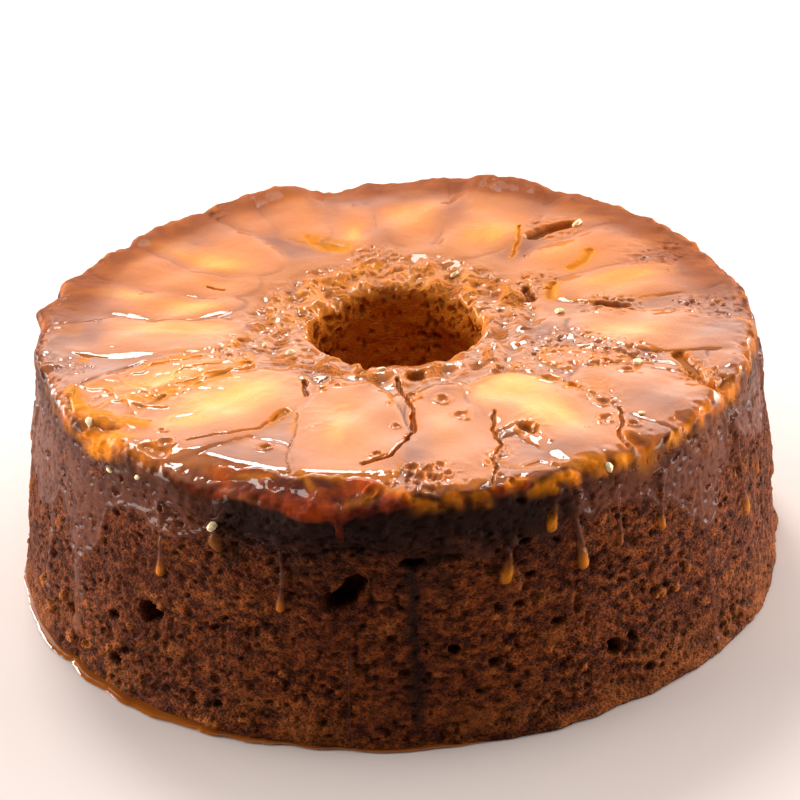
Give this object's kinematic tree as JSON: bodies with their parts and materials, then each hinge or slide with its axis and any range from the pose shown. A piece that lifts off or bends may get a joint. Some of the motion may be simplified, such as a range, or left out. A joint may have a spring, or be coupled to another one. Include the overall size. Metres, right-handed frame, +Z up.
{
  "type": "apple upside-down ring cake",
  "caption": "Tall round dense brown cake with a hole through its middle, tapered side and a ring of caramelised apple slices set into its top.",
  "frame": {"origin": "centre of the flat underside", "axes": "+Z up through the hole, -Y towards the side that the picture shows"},
  "size_m": [0.2453, 0.2483, 0.0813],
  "materials": {
    "crumb": "coarse open baked crumb, dark brown, glazed with caramel on top and in runs down the side",
    "apple": "soft cooked apple under clear wet caramel"
  },
  "bodies": {
    "root": {"cake_body": "crumb", "apple_slice_01": "apple", "apple_slice_02": "apple", "apple_slice_03": "apple", "apple_slice_04": "apple", "apple_slice_05": "apple", "apple_slice_06": "apple", "apple_slice_07": "apple", "apple_slice_08": "apple", "apple_slice_09": "apple", "apple_slice_10": "apple", "apple_slice_11": "apple", "apple_slice_12": "apple", "apple_slice_13": "apple", "apple_slice_14": "apple", "apple_slice_15": "apple", "apple_slice_16": "apple", "apple_slice_17": "apple", "apple_slice_18": "apple", "apple_slice_19": "apple", "apple_slice_20": "apple", "apple_slice_21": "apple", "apple_slice_22": "apple", "apple_slice_23": "apple", "apple_slice_24": "apple"}
  },
  "joints": []
}
